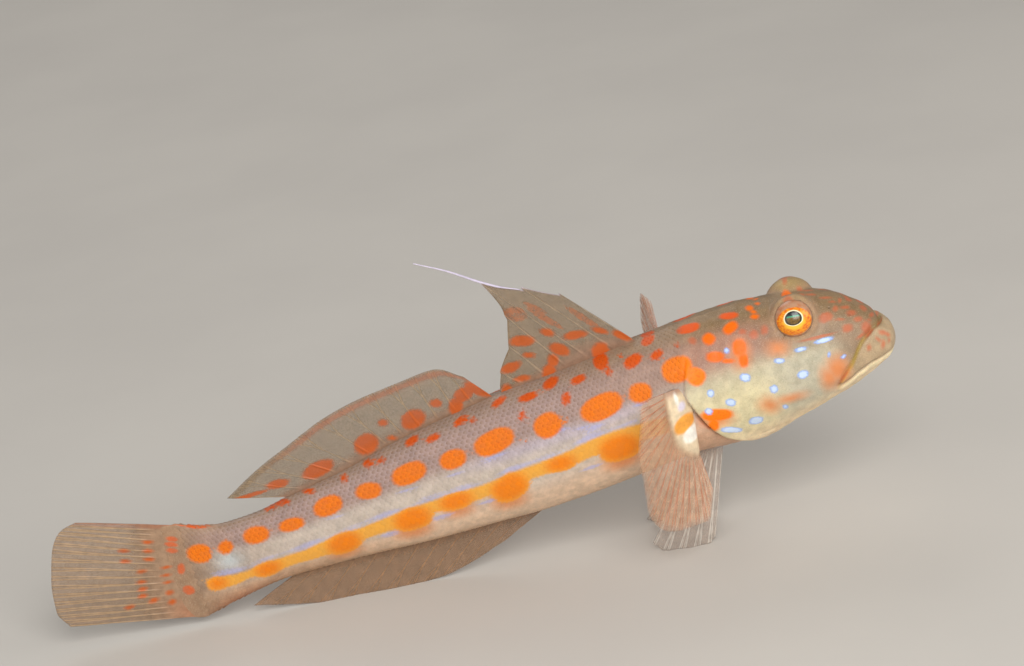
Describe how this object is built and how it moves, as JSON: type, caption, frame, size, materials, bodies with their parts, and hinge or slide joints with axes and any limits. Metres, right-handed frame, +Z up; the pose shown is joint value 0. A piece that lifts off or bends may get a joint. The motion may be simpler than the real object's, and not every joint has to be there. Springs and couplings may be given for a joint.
{
  "type": "orange-dashed goby",
  "caption": "Life-size still model of a slender sand goby propped on its pelvic and anal fins, with raised dorsal fins.",
  "frame": {"origin": "on the ground, below the middle of the bounding box", "axes": "+X towards the snout, +Z up from the ground, +Y towards the fish's left side"},
  "size_m": [0.1517, 0.037, 0.0591],
  "materials": {
    "skin_back": "satin",
    "skin_head": "satin",
    "fin_membrane": "thin and half clear",
    "eye": "glossy"
  },
  "bodies": {
    "root": {"head": "skin_head", "trunk": "skin_back", "tail": "skin_back", "caudal_peduncle": "skin_back", "eye_right": "eye", "eye_left": "eye", "first_dorsal_fin": "fin_membrane", "second_dorsal_fin": "fin_membrane", "anal_fin": "fin_membrane", "caudal_fin": "fin_membrane", "pectoral_fin_right": "fin_membrane", "pectoral_fin_left": "fin_membrane", "pelvic_fin_right": "fin_membrane", "pelvic_fin_left": "fin_membrane"}
  },
  "joints": []
}
